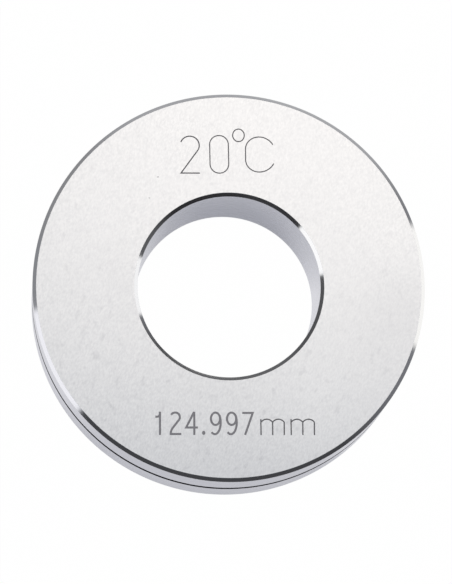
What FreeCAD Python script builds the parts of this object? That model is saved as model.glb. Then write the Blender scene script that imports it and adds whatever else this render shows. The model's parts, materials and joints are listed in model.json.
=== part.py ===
# Setting ring gauge: one thick ring of hardened tool steel, turned, ground and lapped all over.
# It lies on its lower face, with the bore standing up along +Z.
# The origin is the centre of the bore on the lower face, and every length is in millimetres.
import FreeCAD, Part
import os
import Sketcher

PARTS_FOLDER = "parts"
TOLERANCE = 1e-4

# Driving dimensions: alias, value in millimetres, and what it measures.
SIZES = [
    ("bore_diameter", 124.997, "calibrated bore at 20 degrees, the size that the ring stands for"),
    ("rim_diameter", 268.0, "outside of the ring"),
    ("thickness", 80.0, "from one lapped face to the other"),
    ("bore_chamfer_width", 2.4, "lead-in at both mouths of the bore, measured across the lapped face"),
    ("bore_chamfer_depth", 2.0, "the same lead-in, measured down the bore, so a little flatter than 45 degrees"),
    ("rim_chamfer", 2.5, "45 degree corner at both faces of the rim"),
    ("groove_width", 7.0, "grip groove turned round the middle of the rim"),
    ("groove_depth", 3.0, "from the rim to the floor of the groove"),
    ("groove_root_radius", 1.2, "the nose radius of the grooving tool, left in both root corners"),
    ("groove_lip_chamfer", 0.4, "broken edge at both lips of the groove"),
]


def fill_sheet(doc):
    """The sheet of driving dimensions, one alias a row."""
    sheet = doc.addObject("Spreadsheet::Sheet", "sizes")
    for row, (alias, value, meaning) in enumerate(SIZES, start=1):
        sheet.set(f"A{row}", meaning)
        sheet.set(f"B{row}", str(value))
        sheet.setAlias(f"B{row}", alias)
    doc.recompute()
    return sheet


def sketch_on_axis_plane(body, name):
    """An empty sketch on the plane through the bore's axis: across is +X, up is +Z."""
    plane = next(f for f in body.Origin.OriginFeatures if f.Role == "XZ_Plane")
    sketch = body.newObject("Sketcher::SketchObject", name)
    sketch.AttachmentSupport = [(plane, "")]
    sketch.MapMode = "FlatFace"
    return sketch


def draw_rectangle(sketch, left, right, bottom, top):
    """A closed rectangle, drawn counter-clockwise from its lower left corner: bottom, right, top, left side."""
    corners = [(left, bottom), (right, bottom), (right, top), (left, top)]
    points = [FreeCAD.Vector(x, y, 0) for x, y in corners]
    for start, end in zip(points, points[1:] + points[:1]):
        sketch.addGeometry(Part.LineSegment(start, end), False)
    for side in range(4):
        sketch.addConstraint(Sketcher.Constraint("Coincident", side, 2, (side + 1) % 4, 1))
    for side, direction in enumerate(["Horizontal", "Vertical", "Horizontal", "Vertical"]):
        sketch.addConstraint(Sketcher.Constraint(direction, side))


def bind_distance(sketch, name, kind, start, end, length, expression):
    """A named distance between two points of a sketch, each given as (geometry, point), tied to the sheet."""
    index = sketch.addConstraint(Sketcher.Constraint(kind, *start, *end, length))
    sketch.renameConstraint(index, name)
    sketch.setExpression(f"Constraints.{name}", expression)


def circles_at(shape, radius, heights):
    """Names of the round edges about the bore's axis that have this radius and one of these heights."""
    found = []
    for number, edge in enumerate(shape.Edges, start=1):
        curve = edge.Curve
        if not isinstance(curve, Part.Circle) or abs(curve.Radius - radius) > TOLERANCE:
            continue
        if any(abs(curve.Center.z - height) < TOLERANCE for height in heights):
            found.append(f"Edge{number}")
    if len(found) != len(heights):
        raise RuntimeError(f"expected {len(heights)} edges of radius {radius}, found {found}")
    return found


def turn_blank(body, sheet):
    """The plain ring, turned from its square section."""
    origin_point = (-1, 1)
    lower_inner, lower_outer, upper_outer = (0, 1), (0, 2), (1, 2)
    section = sketch_on_axis_plane(body, "ring_section")
    draw_rectangle(section, sheet.bore_diameter / 2, sheet.rim_diameter / 2, 0, sheet.thickness)
    section.addConstraint(Sketcher.Constraint("PointOnObject", 0, 1, -1))
    bind_distance(
        section, "bore_radius", "DistanceX", origin_point, lower_inner,
        sheet.bore_diameter / 2, "sizes.bore_diameter / 2",
    )
    bind_distance(
        section, "rim_radius", "DistanceX", origin_point, lower_outer,
        sheet.rim_diameter / 2, "sizes.rim_diameter / 2",
    )
    bind_distance(
        section, "height", "DistanceY", lower_outer, upper_outer,
        sheet.thickness, "sizes.thickness",
    )
    blank = body.newObject("PartDesign::Revolution", "ring_blank")
    blank.Profile = section
    blank.ReferenceAxis = (section, ["V_Axis"])
    blank.Angle = 360
    body.Document.recompute()
    return blank


def turn_grip_groove(body, sheet, before):
    """The square groove round the middle of the rim. Its section runs past the rim by its own depth."""
    rim = sheet.rim_diameter / 2
    floor = rim - sheet.groove_depth
    low = (sheet.thickness - sheet.groove_width) / 2
    origin_point = (-1, 1)
    lower_inner, lower_outer, upper_outer = (0, 1), (0, 2), (1, 2)
    section = sketch_on_axis_plane(body, "grip_groove_section")
    draw_rectangle(section, floor, rim + sheet.groove_depth, low, low + sheet.groove_width)
    bind_distance(
        section, "floor_radius", "DistanceX", origin_point, lower_inner,
        floor, "sizes.rim_diameter / 2 - sizes.groove_depth",
    )
    bind_distance(
        section, "cutter_reach", "DistanceX", lower_inner, lower_outer,
        2 * sheet.groove_depth, "2 * sizes.groove_depth",
    )
    bind_distance(
        section, "low_side", "DistanceY", origin_point, lower_inner,
        low, "(sizes.thickness - sizes.groove_width) / 2",
    )
    bind_distance(
        section, "width", "DistanceY", lower_outer, upper_outer,
        sheet.groove_width, "sizes.groove_width",
    )
    groove = body.newObject("PartDesign::Groove", "grip_groove")
    groove.Profile = section
    groove.ReferenceAxis = (section, ["V_Axis"])
    groove.Angle = 360
    body.Document.recompute()
    if groove.Shape.Volume >= before.Shape.Volume:
        raise RuntimeError("the grip groove cuts nothing")
    return groove


def round_groove_roots(body, sheet, before):
    """The tool's nose radius in both root corners of the groove."""
    floor = (sheet.rim_diameter / 2) - sheet.groove_depth
    low = (sheet.thickness - sheet.groove_width) / 2
    roots = body.newObject("PartDesign::Fillet", "groove_roots")
    roots.Base = (before, circles_at(before.Shape, floor, [low, low + sheet.groove_width]))
    roots.setExpression("Radius", "sizes.groove_root_radius")
    body.Document.recompute()
    return roots


def chamfer_edges(body, name, before, radius, heights, alias):
    """A 45 degree chamfer on the round edges of one radius."""
    chamfer = body.newObject("PartDesign::Chamfer", name)
    chamfer.Base = (before, circles_at(before.Shape, radius, heights))
    chamfer.setExpression("Size", f"sizes.{alias}")
    body.Document.recompute()
    return chamfer


def chamfer_bore_mouth(body, sheet, name, before, height, flip):
    """The lead-in at one mouth: its width goes across the lapped face, and its depth down the bore.

    The first size runs over whichever face the edge lists first, so flip turns the two round.
    """
    bore = sheet.bore_diameter / 2
    mouth = body.newObject("PartDesign::Chamfer", name)
    mouth.Base = (before, circles_at(before.Shape, bore, [height]))
    mouth.ChamferType = "Two distances"
    mouth.FlipDirection = flip
    mouth.setExpression("Size", "sizes.bore_chamfer_width")
    mouth.setExpression("Size2", "sizes.bore_chamfer_depth")
    body.Document.recompute()
    circles_at(mouth.Shape, bore + sheet.bore_chamfer_width, [height])
    return mouth


def make_setting_ring(doc, sheet):
    """The whole gauge, in the order that a turner would cut it."""
    body = doc.addObject("PartDesign::Body", "setting_ring")
    body.Label = "setting_ring"
    rim = sheet.rim_diameter / 2
    faces = [0, sheet.thickness]
    groove_low = (sheet.thickness - sheet.groove_width) / 2
    lips = [groove_low, groove_low + sheet.groove_width]

    blank = turn_blank(body, sheet)
    groove = turn_grip_groove(body, sheet, blank)
    roots = round_groove_roots(body, sheet, groove)
    broken_lips = chamfer_edges(body, "groove_lips", roots, rim, lips, "groove_lip_chamfer")
    rim_corners = chamfer_edges(body, "rim_corners", broken_lips, rim, faces, "rim_chamfer")
    lower_mouth = chamfer_bore_mouth(body, sheet, "lower_mouth", rim_corners, 0, flip=False)
    upper_mouth = chamfer_bore_mouth(body, sheet, "upper_mouth", lower_mouth, sheet.thickness, flip=True)
    body.Tip = upper_mouth
    body.Placement = FreeCAD.Placement()
    doc.recompute()
    return body


def check(doc, bodies):
    """Stops before anything is written if a feature failed or a solid is not sound."""
    failed = [o.Name for o in doc.Objects if {"Invalid", "Error"} & set(o.State)]
    if failed:
        raise RuntimeError(f"these features failed: {failed}")
    for body in bodies:
        shape = body.Shape
        if shape.isNull() or not shape.isValid() or len(shape.Solids) != 1:
            raise RuntimeError(f"{body.Label} is not one sound solid")


def main():
    doc = FreeCAD.newDocument("setting_ring_gauge")
    sheet = fill_sheet(doc)
    bodies = [make_setting_ring(doc, sheet)]
    check(doc, bodies)
    os.makedirs(PARTS_FOLDER, exist_ok=True)
    for body in bodies:
        body.Shape.exportStep(os.path.join(PARTS_FOLDER, f"{body.Label}.step"))
        print(f"{body.Label}: {body.Shape.Volume / 1000:.1f} cubic centimetres")


main()
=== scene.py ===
# Looks of a setting ring gauge: the finished steel ring with its marks, the camera and the studio.
# Sizes are in millimetres and angles in degrees. They are turned to metres and radians where they are used.
import json
import math
import bmesh
import bpy
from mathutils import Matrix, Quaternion, Vector


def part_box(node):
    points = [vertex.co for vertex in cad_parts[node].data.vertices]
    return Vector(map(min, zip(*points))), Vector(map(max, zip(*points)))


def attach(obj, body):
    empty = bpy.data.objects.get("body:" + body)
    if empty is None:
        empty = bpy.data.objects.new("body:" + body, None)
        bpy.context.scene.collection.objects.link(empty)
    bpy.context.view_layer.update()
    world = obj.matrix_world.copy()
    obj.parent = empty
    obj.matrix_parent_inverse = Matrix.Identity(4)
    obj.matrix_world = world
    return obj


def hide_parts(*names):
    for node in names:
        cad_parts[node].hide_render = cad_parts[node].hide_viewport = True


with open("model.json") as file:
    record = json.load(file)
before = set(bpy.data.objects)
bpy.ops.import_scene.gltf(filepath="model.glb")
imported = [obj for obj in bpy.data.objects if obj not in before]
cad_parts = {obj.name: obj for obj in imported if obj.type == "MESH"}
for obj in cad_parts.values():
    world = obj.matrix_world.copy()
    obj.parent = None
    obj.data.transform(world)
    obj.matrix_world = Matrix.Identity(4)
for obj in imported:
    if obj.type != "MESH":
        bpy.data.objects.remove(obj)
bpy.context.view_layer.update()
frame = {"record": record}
mm = 0.001
scene = bpy.context.scene
print("frame loaded")


def addNode(tree, kind, inputs=None, **settings):
    # inputs: socket name or number -> a value, or another node's output to link
    node = tree.nodes.new(kind)
    for name, value in settings.items():
        setattr(node, name, value)
    for name, value in (inputs or {}).items():
        if isinstance(value, bpy.types.NodeSocket):
            tree.links.new(value, node.inputs[name])
        else:
            node.inputs[name].default_value = value
    return node


def linearColour(hexText, level=1.0):
    # sRGB hex to Blender's linear colour, times a level where it is light
    parts = [int(hexText[i:i + 2], 16) / 255 for i in (1, 3, 5)]
    linear = [c / 12.92 if c <= 0.04045 else ((c + 0.055) / 1.055) ** 2.4 for c in parts]
    return [c * level for c in linear] + [1.0]


def makeObject(name, bm):
    mesh = bpy.data.meshes.new(name)
    bm.to_mesh(mesh)
    bm.free()
    made = bpy.data.objects.new(name, mesh)
    scene.collection.objects.link(made)
    return made


# sizes that the CAD model fixes
mounts = {m["name"]: m["dims"] for m in frame["record"]["mounts"]}
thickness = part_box("setting_ring")[1].z
boreRadius = mounts["bore"]["r_mm"] * mm
rimRadius = mounts["rim"]["r_mm"] * mm
boreChamferDepth = (thickness - mounts["bore"]["length_mm"] * mm) / 2
rimChamfer = (thickness - mounts["rim"]["length_mm"] * mm) / 2


# camera
view = {
    "azimuth": -19.35,       # it stands in front of the ring and a little to the left
    "elevation": 79.953,     # and looks steeply down
    "roll": 19.198,          # turned until the lines of marks are level
    "distance": 2605.8,      # from the marked face
    "lookAt": (-2.33, -4.08),
    "lens": 235.86,
    "sensor": 36.0,          # along the frame's long side
}


def placeCamera():
    around, above = math.radians(view["azimuth"]), math.radians(view["elevation"])
    back = Vector((
        math.sin(around) * math.cos(above),
        -math.cos(around) * math.cos(above),
        math.sin(above),
    ))
    target = Vector((view["lookAt"][0] * mm, view["lookAt"][1] * mm, thickness))
    data = bpy.data.cameras.new("camera")
    data.lens = view["lens"]
    data.sensor_width = view["sensor"]
    camera = bpy.data.objects.new("camera", data)
    scene.collection.objects.link(camera)
    camera.location = target + back * view["distance"] * mm
    camera.rotation_mode = "QUATERNION"
    roll = Quaternion((0, 0, 1), math.radians(view["roll"]))
    camera.rotation_quaternion = (-back).to_track_quat("-Z", "Y") @ roll
    scene.camera = camera


placeCamera()
print("camera placed")


# finishes of the steel
finishes = {
    "lapped": {
        "colour": "#E1E1E2", "roughness": 0.36,
        "grit": 1.1, "grainSwing": 0.22,
        "lean": -19,                          # of the grain, from straight up the face
        "dab": "#CFCFD1", "dabSpacing": 4.5, "dabShare": 0.45, "dabRange": (0.58, 0.80),
        # the dabs grow stronger, and the face darker, towards the foot of the marks and a little to the left
        "headWay": (0.29, 0.957, 0), "headReach": 110, "dabLeast": 0.61, "dabGain": 1.15,
    },
    "ground": {"colour": "#C4C4CE", "roughness": 0.30, "lay": 0.9},
    "honed": {"colour": "#D8D8E1", "roughness": 0.26, "lay": 1.1},
    "polished": {"colour": "#D7D7D8", "roughness": 0.09, "lay": 0.7},
    # near black: painted shade for the groove's recess
    "turned": {"colour": "#2E2E32", "roughness": 0.34, "lay": 0.5},
    "etched": {"colour": "#989699", "roughness": 0.62, "grit": 0.5},
    # darker than the etched grey: partly the mark's own, partly painted shade in the narrow strokes
    "engraved": {"colour": "#757376", "roughness": 0.62, "grit": 0.5},
}
noiseRange = (0.3, 0.7)      # where most of a noise's values lie
# painted shade and painted sheen on the lapped faces: broad patches, each with its middle, reach, and how far
# it goes towards the dabs' colour (painted shade), or away from it where that is negative (painted sheen)
shadeSheenPatches = [(58, -84, 62, -0.20), (117, -17, 48, 0.27), (-75, 5, 42, 0.10)]


def setOrLink(tree, socket, value):
    if isinstance(value, bpy.types.NodeSocket):
        tree.links.new(value, socket)
    else:
        socket.default_value = value


def objectPoint(tree):
    return addNode(tree, "ShaderNodeTexCoord").outputs["Object"]


def layPattern(tree, spacing):
    # fine lines that follow the turning: quick change over radius and height, slow change round the axis
    point = objectPoint(tree)
    parts = addNode(tree, "ShaderNodeSeparateXYZ", {0: point})
    flat = addNode(tree, "ShaderNodeCombineXYZ", {"X": parts.outputs["X"], "Y": parts.outputs["Y"]})
    radius = addNode(tree, "ShaderNodeVectorMath", {0: flat.outputs[0]}, operation="LENGTH")
    fast, slow = 1 / (spacing * mm), 14.0     # noise units a metre
    across = addNode(tree, "ShaderNodeMath", {0: radius.outputs["Value"], 1: fast}, operation="MULTIPLY")
    up = addNode(tree, "ShaderNodeMath", {0: parts.outputs["Z"], 1: fast}, operation="MULTIPLY")
    first = addNode(
        tree, "ShaderNodeMath", {0: parts.outputs["X"], 1: slow, 2: across.outputs[0]},
        operation="MULTIPLY_ADD")
    second = addNode(
        tree, "ShaderNodeMath", {0: parts.outputs["Y"], 1: slow, 2: up.outputs[0]},
        operation="MULTIPLY_ADD")
    place = addNode(tree, "ShaderNodeCombineXYZ", {"X": first.outputs[0], "Y": second.outputs[0]})
    return addNode(
        tree, "ShaderNodeTexNoise",
        {"Vector": place.outputs[0], "Scale": 1.0, "Detail": 3.0, "Roughness": 0.6}).outputs[0]


def blendColour(tree, factor, first, second, clamp=True):
    mix = addNode(
        tree, "ShaderNodeMix", {0: factor, 6: first, 7: second}, data_type="RGBA", clamp_factor=clamp)
    return mix.outputs[2]


def span(tree, value, low, high, toLow=0.0, toHigh=1.0, kind="LINEAR"):
    return addNode(
        tree, "ShaderNodeMapRange",
        {"Value": value, "From Min": low, "From Max": high, "To Min": toLow, "To Max": toHigh},
        interpolation_type=kind).outputs[0]


def bareSteel(name, colour, roughness, bumpHeight, bumpDepth):
    # colour, roughness and height are each made by a function of the tree, or are values
    material = bpy.data.materials.new(name)
    material.use_nodes = True
    tree = material.node_tree
    shader = tree.nodes["Principled BSDF"]
    shader.inputs["Metallic"].default_value = 1.0
    setOrLink(tree, shader.inputs["Base Color"], colour(tree) if callable(colour) else linearColour(colour))
    setOrLink(tree, shader.inputs["Roughness"], roughness(tree) if callable(roughness) else roughness)
    bump = addNode(
        tree, "ShaderNodeBump", {"Strength": 1.0, "Distance": bumpDepth * mm, "Height": bumpHeight(tree)})
    tree.links.new(bump.outputs[0], shader.inputs["Normal"])
    return material


def lappedFinish():
    # hardened tool steel, lapped with loose grit: even pale satin, a slanting grain and faint darker dabs
    look = finishes["lapped"]

    def slantedNoise(tree, spacing, length, detail):
        # the grain runs up the face and leans to the right
        place = addNode(
            tree, "ShaderNodeMapping",
            {"Vector": objectPoint(tree), "Rotation": (0, 0, math.radians(look["lean"])),
             "Scale": (1.0, length, 1.0)}, vector_type="TEXTURE")
        return addNode(
            tree, "ShaderNodeTexNoise",
            {"Vector": place.outputs[0], "Scale": 1 / (spacing * mm), "Detail": detail, "Roughness": 0.6},
        ).outputs[0]

    def grain(tree):
        return slantedNoise(tree, look["grit"], 2.0, 2.0)

    def colour(tree):
        grained = span(tree, grain(tree), *noiseRange, -look["grainSwing"], look["grainSwing"])
        spots = slantedNoise(tree, look["dabSpacing"], 1.6, 1.0)
        dabs = span(tree, spots, *look["dabRange"], 0.0, look["dabShare"])
        both = addNode(tree, "ShaderNodeMath", {0: dabs, 1: grained}, operation="ADD")
        along = addNode(
            tree, "ShaderNodeVectorMath", {0: objectPoint(tree), 1: look["headWay"]},
            operation="DOT_PRODUCT").outputs["Value"]
        toFoot = span(tree, along, -look["headReach"] * mm, look["headReach"] * mm, 1.0, 0.0)
        squared = addNode(tree, "ShaderNodeMath", {0: toFoot, 1: 2.0}, operation="POWER")
        dabGrowth = addNode(
            tree, "ShaderNodeMath", {0: squared.outputs[0], 1: look["dabGain"], 2: look["dabLeast"]},
            operation="MULTIPLY_ADD")
        strength = addNode(
            tree, "ShaderNodeMath", {0: both.outputs[0], 1: dabGrowth.outputs[0]}, operation="MULTIPLY")
        # painted shade and sheen: broad patches darken or lighten the face where its reflected light falls
        for x, y, reach, shade in shadeSheenPatches:
            away = addNode(
                tree, "ShaderNodeVectorMath", {0: objectPoint(tree), 1: (x * mm, y * mm, thickness)},
                operation="DISTANCE").outputs["Value"]
            patchTone = span(tree, away, reach * mm, 0, 0, shade, "SMOOTHSTEP")
            strength = addNode(tree, "ShaderNodeMath", {0: strength.outputs[0], 1: patchTone}, operation="ADD")
        return blendColour(
            tree, strength.outputs[0], linearColour(look["colour"]), linearColour(look["dab"]), clamp=False)

    def roughness(tree):
        return span(tree, grain(tree), *noiseRange, look["roughness"] - 0.03, look["roughness"] + 0.03)

    return bareSteel("lappedToolSteel", colour, roughness, grain, 0.002)


def layFinish(name, key, depth):
    look = finishes[key]

    def lines(tree):
        return layPattern(tree, look["lay"])

    def roughness(tree):
        return span(tree, lines(tree), *noiseRange, look["roughness"] * 0.85, look["roughness"] * 1.15)

    return bareSteel(name, look["colour"], roughness, lines, depth)


def markFinish(name, key):
    # cut through the lapped skin: the floor of each stroke is matt and dark
    look = finishes[key]

    def grit(tree):
        return addNode(
            tree, "ShaderNodeTexNoise",
            {"Vector": objectPoint(tree), "Scale": 1 / (look["grit"] * mm), "Detail": 3.0, "Roughness": 0.7},
        ).outputs[0]

    def roughness(tree):
        return span(tree, grit(tree), *noiseRange, look["roughness"] - 0.08, look["roughness"] + 0.08)

    return bareSteel(name, look["colour"], roughness, grit, 0.02)


lappedSteel = lappedFinish()
# rim, ground between centres: soft streaks round it
groundSteel = layFinish("groundToolSteel", "ground", 0.004)
# bore, honed: darker sheen, fine lines round it
honedSteel = layFinish("honedToolSteel", "honed", 0.003)
# chamfers, polished: crisp light and dark
polishedSteel = layFinish("polishedToolSteel", "polished", 0.001)
# groove, as the tool left it: dull, with a near-black colour that is painted shade in the recess
turnedShadeSteel = layFinish("turnedToolSteelShade", "turned", 0.02)
# wide numerals: shallow and mid grey
etchedSteel = markFinish("etchedToolSteel", "etched")
# thin strokes: a point's furrow, darker: partly the mark's own grey, partly painted shade for the narrow
# strokes' depth
engravedShadeSteel = markFinish("engravedToolSteelShade", "engraved")
ringMaterials = [lappedSteel, groundSteel, honedSteel, polishedSteel, turnedShadeSteel, etchedSteel, engravedShadeSteel]
print("steel finishes made")


# the ring
ringShape = {
    "boreChamferWidth": 2.4,     # across the face, and so a little flatter than 45 degrees
    "grooveWidth": 7.0,          # the grip groove round the middle of the rim
    "grooveDepth": 3.0,
    "grooveRoot": 1.2,           # nose radius of the grooving tool
    "grooveLip": 0.4,
    "edgeBreak": 0.05,           # what a stone takes off every sharp edge
    "rootSegments": 10,
    "stepsRound": 360,
}


def makeRing():
    grooveLow = thickness / 2 - ringShape["grooveWidth"] * mm / 2
    grooveHigh = thickness / 2 + ringShape["grooveWidth"] * mm / 2
    grooveFloor = rimRadius - ringShape["grooveDepth"] * mm
    lip = ringShape["grooveLip"] * mm
    mouthRadius = boreRadius + ringShape["boreChamferWidth"] * mm
    bm = bmesh.new()
    # half section as radius and height, from the bore's lower mouth outwards and up
    lower = [
        (mouthRadius, 0.0),
        (rimRadius - rimChamfer, 0.0),
        (rimRadius, rimChamfer),
        (rimRadius, grooveLow - lip),
        (rimRadius - lip, grooveLow),
    ]
    roots = [(grooveFloor, grooveLow), (grooveFloor, grooveHigh)]
    upper = [
        (rimRadius - lip, grooveHigh),
        (rimRadius, grooveHigh + lip),
        (rimRadius, thickness - rimChamfer),
        (rimRadius - rimChamfer, thickness),
        (mouthRadius, thickness),
        (boreRadius, thickness - boreChamferDepth),
        (boreRadius, boreChamferDepth),
    ]
    corners = [bm.verts.new((radius, 0, height)) for radius, height in lower + roots + upper]
    for start, end in zip(corners, corners[1:] + corners[:1]):
        bm.edges.new((start, end))
    rootCorners = corners[len(lower):len(lower) + len(roots)]
    sharpCorners = [c for c in corners if c not in rootCorners]
    for chosen, size, segments in (
        (rootCorners, ringShape["grooveRoot"], ringShape["rootSegments"]),
        (sharpCorners, ringShape["edgeBreak"], 2),
    ):
        bmesh.ops.bevel(
            bm, geom=chosen, offset=size * mm, offset_type="OFFSET", segments=segments,
            profile=0.5, affect="VERTICES", material=-1, clamp_overlap=False)
    bmesh.ops.spin(
        bm, geom=bm.verts[:] + bm.edges[:], cent=(0, 0, 0), axis=(0, 0, 1), dvec=(0, 0, 0),
        angle=math.tau, steps=ringShape["stepsRound"], use_merge=True, use_duplicate=False)
    bmesh.ops.remove_doubles(bm, verts=bm.verts[:], dist=0.001 * mm)
    bmesh.ops.recalc_face_normals(bm, faces=bm.faces[:])

    near = 0.02 * mm
    for face in bm.faces:
        middle = face.calc_center_median()
        radius = middle.xy.length
        level = abs(face.normal.z)
        if level > 0.99 and (middle.z < near or middle.z > thickness - near):
            finish = lappedSteel
        elif level < 0.01 and radius > rimRadius - near:
            finish = groundSteel
        elif level < 0.01 and radius < boreRadius + near:
            finish = honedSteel
        elif radius > boreRadius * 1.5 and grooveLow - lip < middle.z < grooveHigh + lip:
            finish = turnedShadeSteel
        else:
            finish = polishedSteel
        face.material_index = ringMaterials.index(finish)
    ring = makeObject("setting_ring_finished", bm)
    for material in ringMaterials:
        ring.data.materials.append(material)
    return ring


ring = makeRing()
print("ring turned:", len(ring.data.polygons), "faces")


# the marks: each stroke is a line of corner points (x, y) and arcs (x, y, radius across, radius up, from,
# to), measured from its glyph's left end on the line's foot. One that ends with "closed" joins its start
def digitNine():
    bowl = [(3.1, 10.4, 3.1, 4.2, 0, 360), "closed"]
    tail = [(2.6, 8.0, 4.0, 8.1, 36, -124)]
    return [bowl, tail]


def letterM():
    arches = [
        (0.05, 8.0), (3.95, 5.3, 4.8, 4.8, 144, 36), (11.85, 5.3, 4.8, 4.8, 144, 36), (15.75, -0.75)]
    return [[(0, -0.75), (-0.1, 10.2)], arches, [(7.9, -0.75), (7.9, 8.1)]]


marks = {
    # each line: its foot on the face, its strokes' width and depth, and its glyphs with their left ends
    "temperatureFirst": {
        "foot": 78.37, "width": 0.86, "depth": 0.22, "finish": engravedShadeSteel,
        "glyphs": [(-32.5, [[(6.05, 19.35, 6.5, 6.4, 159, -36), (-0.05, 0.0), (12.85, 0.0)]])],
    },
    "temperature": {
        "foot": 78.37, "width": 0.77, "depth": 0.22, "finish": engravedShadeSteel,
        "glyphs": [
            (-12.6, [[(6.2, 20.1, 6.4, 6.2, 0, 180), (6.4, 6.4, 6.4, 6.4, 180, 360), "closed"]]),
            (3.18, [[(3.85, 26.5, 3.98, 4.38, 0, 360), "closed"]]),
            (11.8, [[
                (9.3, 14.3, 11.1, 11.1, 31, 90), (9.3, 16.9, 9.3, 8.5, 90, 180),
                (9.3, 9.4, 9.3, 8.5, 180, 270), (9.3, 12.3, 11.4, 11.4, 270, 332),
            ]]),
        ],
    },
    "sizeDigits": {
        "foot": -101.55, "width": 1.45, "depth": 0.18, "finish": etchedSteel,
        "glyphs": [
            (-47.73, [[(0, -0.65), (0, 15.25)], [(-3.1, 11.8), (-1.9, 13.7, 1.9, 1.9, -90, 0)]]),
            (-40.45, [[
                (3.05, 11.5, 3.15, 3.15, 150, -38), (6.0, 0.4, 6.0, 6.0, 142, 180), (0, 0), (7.1, 0),
            ]]),
            (-24.5, [[(2.5, 4.45), (-5.5, 4.45), (-0.1, 15.1)], [(0, -0.65), (0, 15.2)]]),
            (-13.2, digitNine()),
            (-2.3, digitNine()),
            (8.1, [[(0, 14.4), (7.1, 14.4), (1.8, -0.6)]]),
        ],
    },
    "sizeUnit": {
        "foot": -101.55, "width": 0.87, "depth": 0.18, "finish": engravedShadeSteel,
        "glyphs": [(20.75, letterM()), (41.25, letterM())],
    },
}
arcStep = 7.5           # degrees between the points of an arc
pointsMeet = 0.01       # points of a stroke that lie closer than this are one
cutterRise = 1.0        # how far a cutter stands out of the face


def strokeWire(bm, stroke, left, foot):
    items = [item for item in stroke if item != "closed"]
    chains = []
    for item in items:
        before = len(bm.verts)
        if len(item) == 2:
            bm.verts.new((item[0], item[1], 0))
        else:
            x, y, across, up, start, stop = item
            turn = math.radians(stop - start)
            first = bm.verts.new((math.cos(math.radians(start)), math.sin(math.radians(start)), 0))
            bmesh.ops.spin(
                bm, geom=[first], cent=(0, 0, 0), axis=(0, 0, 1), dvec=(0, 0, 0), angle=turn,
                steps=math.ceil(abs(stop - start) / arcStep), use_merge=False, use_duplicate=False)
            arc = bm.verts[before:]
            bmesh.ops.scale(bm, vec=(across, up, 1), verts=arc)
            bmesh.ops.translate(bm, vec=(x, y, 0), verts=arc)
        chains.append(bm.verts[before:])
    joints = list(zip(chains, chains[1:]))
    if len(items) < len(stroke):
        joints.append((chains[-1], chains[0]))
    for leaving, reaching in joints:
        if (leaving[-1].co - reaching[0].co).length > pointsMeet:
            bm.edges.new((leaving[-1], reaching[0]))
    made = [v for chain in chains for v in chain]
    bmesh.ops.translate(bm, vec=(left, foot, 0), verts=made)
    bmesh.ops.remove_doubles(bm, verts=made, dist=pointsMeet)


def makeCutter(name, line):
    bm = bmesh.new()
    for left, strokes in line["glyphs"]:
        for stroke in strokes:
            strokeWire(bm, stroke, left, line["foot"])
            bm.verts.ensure_lookup_table()
    bmesh.ops.scale(bm, vec=(mm, mm, mm), verts=bm.verts[:])
    bmesh.ops.translate(bm, vec=(0, 0, thickness - line["depth"] * mm), verts=bm.verts[:])
    raised = bmesh.ops.extrude_edge_only(bm, edges=bm.edges[:])["geom"]
    top = [v for v in raised if isinstance(v, bmesh.types.BMVert)]
    bmesh.ops.translate(bm, vec=(0, 0, (line["depth"] + cutterRise) * mm), verts=top)
    cutter = makeObject(name, bm)
    wall = cutter.modifiers.new("wall", "SOLIDIFY")
    wall.thickness = line["width"] * mm
    wall.offset = 0
    wall.use_even_offset = True
    cutter.data.materials.append(line["finish"])
    return cutter


# round sinkings: place on the face, size across and up, depth, and finish
sinkings = [
    (-18.15, -100.75, 2.25, 2.85, 0.18, etchedSteel),     # the decimal point
    (-48.3, 75.6, 0.8, 0.85, 0.05, etchedSteel),          # two small dents that handling has left
    (-54.4, 60.9, 0.6, 0.7, 0.05, etchedSteel),
]


def makeSinkingCutter():
    finishesUsed = [etchedSteel, engravedShadeSteel]
    bm = bmesh.new()
    for x, y, across, up, depth, finish in sinkings:
        knownFaces = set(bm.faces)
        made = bmesh.ops.create_cone(
            bm, cap_ends=True, segments=20, radius1=0.5, radius2=0.5, depth=1)["verts"]
        bmesh.ops.scale(bm, vec=(across * mm, up * mm, (depth + cutterRise) * mm), verts=made)
        bmesh.ops.translate(
            bm, vec=(x * mm, y * mm, thickness + (cutterRise - depth) * mm / 2), verts=made)
        for face in set(bm.faces) - knownFaces:
            face.material_index = finishesUsed.index(finish)
    cutter = makeObject("sinkingCutter", bm)
    for finish in finishesUsed:
        cutter.data.materials.append(finish)
    return cutter


def addBoolean(piece, other, operation, crossing):
    # crossing: the pieces' own parts run through each other
    cut = piece.modifiers.new(other.name, "BOOLEAN")
    cut.operation = operation
    cut.solver = "EXACT"
    cut.use_self = crossing
    cut.material_mode = "TRANSFER"
    cut.object = other


def evaluatedMesh(piece):
    return bpy.data.meshes.new_from_object(piece.evaluated_get(bpy.context.evaluated_depsgraph_get()))


def dropFins(mesh):
    # where two strokes meet, a boolean can leave a sliver twice, back to back: both faces go, so that
    # the mesh is closed and what it cuts comes out whole
    bm = bmesh.new()
    bm.from_mesh(mesh)
    sharing = {}
    for face in bm.faces:
        sharing.setdefault(frozenset(face.verts), []).append(face)
    fins = [face for faces in sharing.values() if len(faces) == 2 for face in faces]
    bmesh.ops.delete(bm, geom=fins, context="FACES")
    bm.to_mesh(mesh)
    bm.free()


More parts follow.
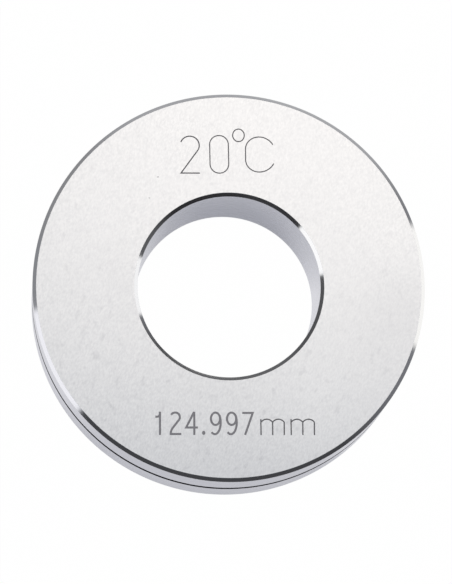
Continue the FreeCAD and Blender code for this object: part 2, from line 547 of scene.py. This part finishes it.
def cutMarks(ring):
    cutters = [makeCutter(name, line) for name, line in marks.items()]
    together = makeSinkingCutter()
    for cutter in cutters:
        addBoolean(together, cutter, "UNION", True)
    united = evaluatedMesh(together)
    together.modifiers.clear()
    dropFins(united)
    together.data = united
    addBoolean(ring, together, "DIFFERENCE", False)
    finished = evaluatedMesh(ring)
    ring.modifiers.clear()
    dropFins(finished)
    ring.data = finished
    for cutter in cutters + [together]:
        bpy.data.objects.remove(cutter)
    finished.shade_smooth()
    finished.set_sharp_from_angle(angle=math.radians(30))
    # the large flats keep their own normals, and the broken edges carry the turn between them
    weighted = ring.modifiers.new("weightedNormals", "WEIGHTED_NORMAL")
    weighted.mode = "FACE_AREA"
    weighted.weight = 100
    weighted.keep_sharp = True


cutMarks(ring)
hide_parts("setting_ring")
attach(ring, "root")
print("marks cut:", len(ring.data.polygons), "faces")


# studio: a pale floor, a soft box close above the ring and a tent of light with a dark side
studio = {
    "floorRadius": 450.0,
    "floorDrop": 0.02,       # below the ring, so that the two faces don't fight
    "floorColour": "#EDEDEE",
    "floorWhite": 0.994,     # how far the floor is lifted to white where the camera sees it
    # and how white the steel mirrors it, with painted shadow and painted light on the floor that only the
    # steel sees. In the bore it dims from the near line to the far one along Y as painted shadow of the ring,
    # and gains a little to the left and the right over these places along X as painted light
    "boreNear": 0.77, "boreFar": 0.265, "boreNearFar": (8.0, 48.0),
    "boreLeftGain": 1.25, "boreLeft": (-8.0, -34.0),
    "boreRightGain": 1.08, "boreRight": (12.0, 40.0),
    # outside it is dimmer in front of the ring than to its left and right, and dimmer at the rim's foot:
    # painted shadow of the ring
    "floorFront": 0.69,
    "floorLeft": 0.95, "leftOfRing": (-90.0, -140.0),
    "floorRight": 0.92, "rightOfRing": (62.0, 92.0),
    "footShadowGain": 0.88, "footRadii": (136.0, 142.0),
    "boxPlace": (200.0, 445.0, 1015.0),
    "boxSize": (1000.0, 800.0),
    "boxLevel": 0.995,
    "boxColour": "#FFF6EB",
    "tent": 0.585,
    "tentColour": "#EFF6FF",
}
# the tent's cards: middle azimuth counter-clockwise from +X, half the width, lowest and highest angle,
# level, how far the upright edges fade, and colour; a later card covers the ones before it
cards = [
    (102.6, 75.4, -90, 0, 0.36, 1.5, "#FAFBFF"),
    (102.25, 75.75, 0, 20, 0.12, 1.5, "#FAFBFF"),
    (99, 24, 0, 8, 0.17, 12, "#FAFBFF"),
    (80, 38, -90, -4, 0.53, 12, "#FAFBFF"),
    (168, 12, -90, 6, 0.36, 4, "#F6F9FF"),
    (283.25, 68.75, -90, 10, 0.08, 1.5, "#F4F6FF"),
    (283.25, 68.75, 10, 25, 0.036, 1.5, "#F8F6FF"),
    (238, 24, 10, 25, 0.048, 8, "#F8F6FF"),
    (0, 28, -90, 10, 0.27, 20, "#F4F6FF"),
    (0, 28, 10, 25, 0.15, 20, "#FAFBFF"),
    (9.35, 17.35, -90, 1, 1.35, 1.5, "#FFFEFB"),
    (9, 17, 1, 30, 1.30, 1.5, "#FFFFFF"),
    (196.25, 18.25, -90, 10, 1.31, 1.5, "#FAFAFF"),
    (196.25, 18.25, 10, 30, 1.42, 1.5, "#FFFFFF"),
]
levelFade = 1.5     # how far the cards' level edges fade
ground = -90        # a card that starts here has no lower edge


def whiteRays(tree, cameraShare, mirrorShare):
    # how much of plain white each kind of ray sees
    path = addNode(tree, "ShaderNodeLightPath")
    mirror = addNode(
        tree, "ShaderNodeMath",
        {0: path.outputs["Is Glossy Ray"], 1: path.outputs["Is Transmission Ray"]}, operation="MAXIMUM")
    mirrored = addNode(tree, "ShaderNodeMath", {0: mirror.outputs[0], 1: mirrorShare}, operation="MULTIPLY")
    seen = addNode(
        tree, "ShaderNodeMath", {0: path.outputs["Is Camera Ray"], 1: cameraShare, 2: mirrored.outputs[0]},
        operation="MULTIPLY_ADD")
    return seen.outputs[0]


def makeWorld():
    world = bpy.data.worlds.new("studioTent")
    world.use_nodes = True
    scene.world = world
    tree = world.node_tree
    tree.nodes.clear()
    direction = addNode(tree, "ShaderNodeTexCoord").outputs["Generated"]
    parts = addNode(tree, "ShaderNodeSeparateXYZ", {0: direction})
    level = addNode(tree, "ShaderNodeCombineXYZ", {"X": parts.outputs["X"], "Y": parts.outputs["Y"]})
    flat = addNode(tree, "ShaderNodeVectorMath", {0: level.outputs[0]}, operation="NORMALIZE").outputs[0]
    light = linearColour(studio["tentColour"], studio["tent"])
    for azimuth, half, low, high, strength, fade, colour in cards:
        middle = math.radians(azimuth)
        facing = addNode(
            tree, "ShaderNodeVectorMath", {0: flat, 1: (math.cos(middle), math.sin(middle), 0)},
            operation="DOT_PRODUCT").outputs["Value"]
        reach = [math.cos(math.radians(half + turn)) for turn in (fade, -fade)]
        mask = span(tree, facing, *reach, 0.0, 1.0, "SMOOTHSTEP")
        for angle, side in ((low, 1), (high, -1)):
            if angle > ground:
                edge = [math.sin(math.radians(angle + turn * side)) for turn in (-levelFade, levelFade)]
                within = span(tree, parts.outputs["Z"], *edge, 0.0, 1.0, "SMOOTHSTEP")
                mask = addNode(tree, "ShaderNodeMath", {0: mask, 1: within}, operation="MULTIPLY").outputs[0]
        light = blendColour(tree, mask, light, linearColour(colour, strength))
    lit = addNode(tree, "ShaderNodeBackground", {"Color": light})
    white = addNode(tree, "ShaderNodeBackground", {"Color": linearColour("#FFFFFF"), "Strength": 1.0})
    mixed = addNode(
        tree, "ShaderNodeMixShader", {0: whiteRays(tree, 1.0, 0.0), 1: lit.outputs[0], 2: white.outputs[0]})
    addNode(tree, "ShaderNodeOutputWorld", {"Surface": mixed.outputs[0]})


def mirroredFloor(tree):
    # how white the floor is to the steel, over the board: painted shadow and painted light that only
    # reflections show
    def combine(operation, first, second):
        return addNode(tree, "ShaderNodeMath", {0: first, 1: second}, operation=operation).outputs[0]

    place = objectPoint(tree)
    parts = addNode(tree, "ShaderNodeSeparateXYZ", {0: place})
    x, y = parts.outputs["X"], parts.outputs["Y"]
    radius = addNode(tree, "ShaderNodeVectorMath", {0: place}, operation="LENGTH").outputs["Value"]

    def between(value, key, start, end, kind="SMOOTHSTEP"):
        # from one level to the other over the places that the studio names
        low, high = studio[key]
        return span(tree, value, low * mm, high * mm, start, end, kind)

    along = between(y, "boreNearFar", studio["boreNear"], studio["boreFar"], "LINEAR")
    leftGain = between(x, "boreLeft", 1.0, studio["boreLeftGain"])
    rightGain = between(x, "boreRight", 1.0, studio["boreRightGain"])
    inside = combine("MULTIPLY", along, combine("MULTIPLY", leftGain, rightGain))
    left = between(x, "leftOfRing", studio["floorFront"], studio["floorLeft"])
    right = between(x, "rightOfRing", 0.0, studio["floorRight"])
    footShadowGain = between(radius, "footRadii", studio["footShadowGain"], 1.0)
    outside = combine("MULTIPLY", combine("MAXIMUM", left, right), footShadowGain)
    isOutside = combine("GREATER_THAN", radius, (boreRadius + rimRadius) / 2)
    mixed = addNode(tree, "ShaderNodeMix", {0: isOutside, 2: inside, 3: outside}, data_type="FLOAT")
    return mixed.outputs[0]


def makeFloor():
    bm = bmesh.new()
    bmesh.ops.create_circle(bm, cap_ends=True, radius=studio["floorRadius"] * mm, segments=128)
    bmesh.ops.translate(bm, vec=(0, 0, -studio["floorDrop"] * mm), verts=bm.verts[:])
    floor = makeObject("floor", bm)
    material = bpy.data.materials.new("paleBoard")      # matt board: takes the ring's soft shadow
    material.use_nodes = True
    tree = material.node_tree
    tree.nodes.clear()
    board = addNode(tree, "ShaderNodeBsdfDiffuse", {"Color": linearColour(studio["floorColour"])})
    white = addNode(tree, "ShaderNodeEmission", {"Color": linearColour("#FFFFFF"), "Strength": 1.0})
    share = whiteRays(tree, studio["floorWhite"], mirroredFloor(tree))
    mixed = addNode(tree, "ShaderNodeMixShader", {0: share, 1: board.outputs[0], 2: white.outputs[0]})
    addNode(tree, "ShaderNodeOutputMaterial", {"Surface": mixed.outputs[0]})
    floor.data.materials.append(material)


def makeSoftBox():
    data = bpy.data.lights.new("softBox", "AREA")
    data.shape = "RECTANGLE"
    data.size, data.size_y = (side * mm for side in studio["boxSize"])
    data.energy = studio["boxLevel"] * math.pi * data.size * data.size_y
    data.color = linearColour(studio["boxColour"])[:3]
    box = bpy.data.objects.new("softBox", data)
    scene.collection.objects.link(box)
    box.location = [place * mm for place in studio["boxPlace"]]
    box.visible_camera = False


makeWorld()
makeFloor()
makeSoftBox()
scene.view_settings.view_transform = "Standard"
print("studio lit")
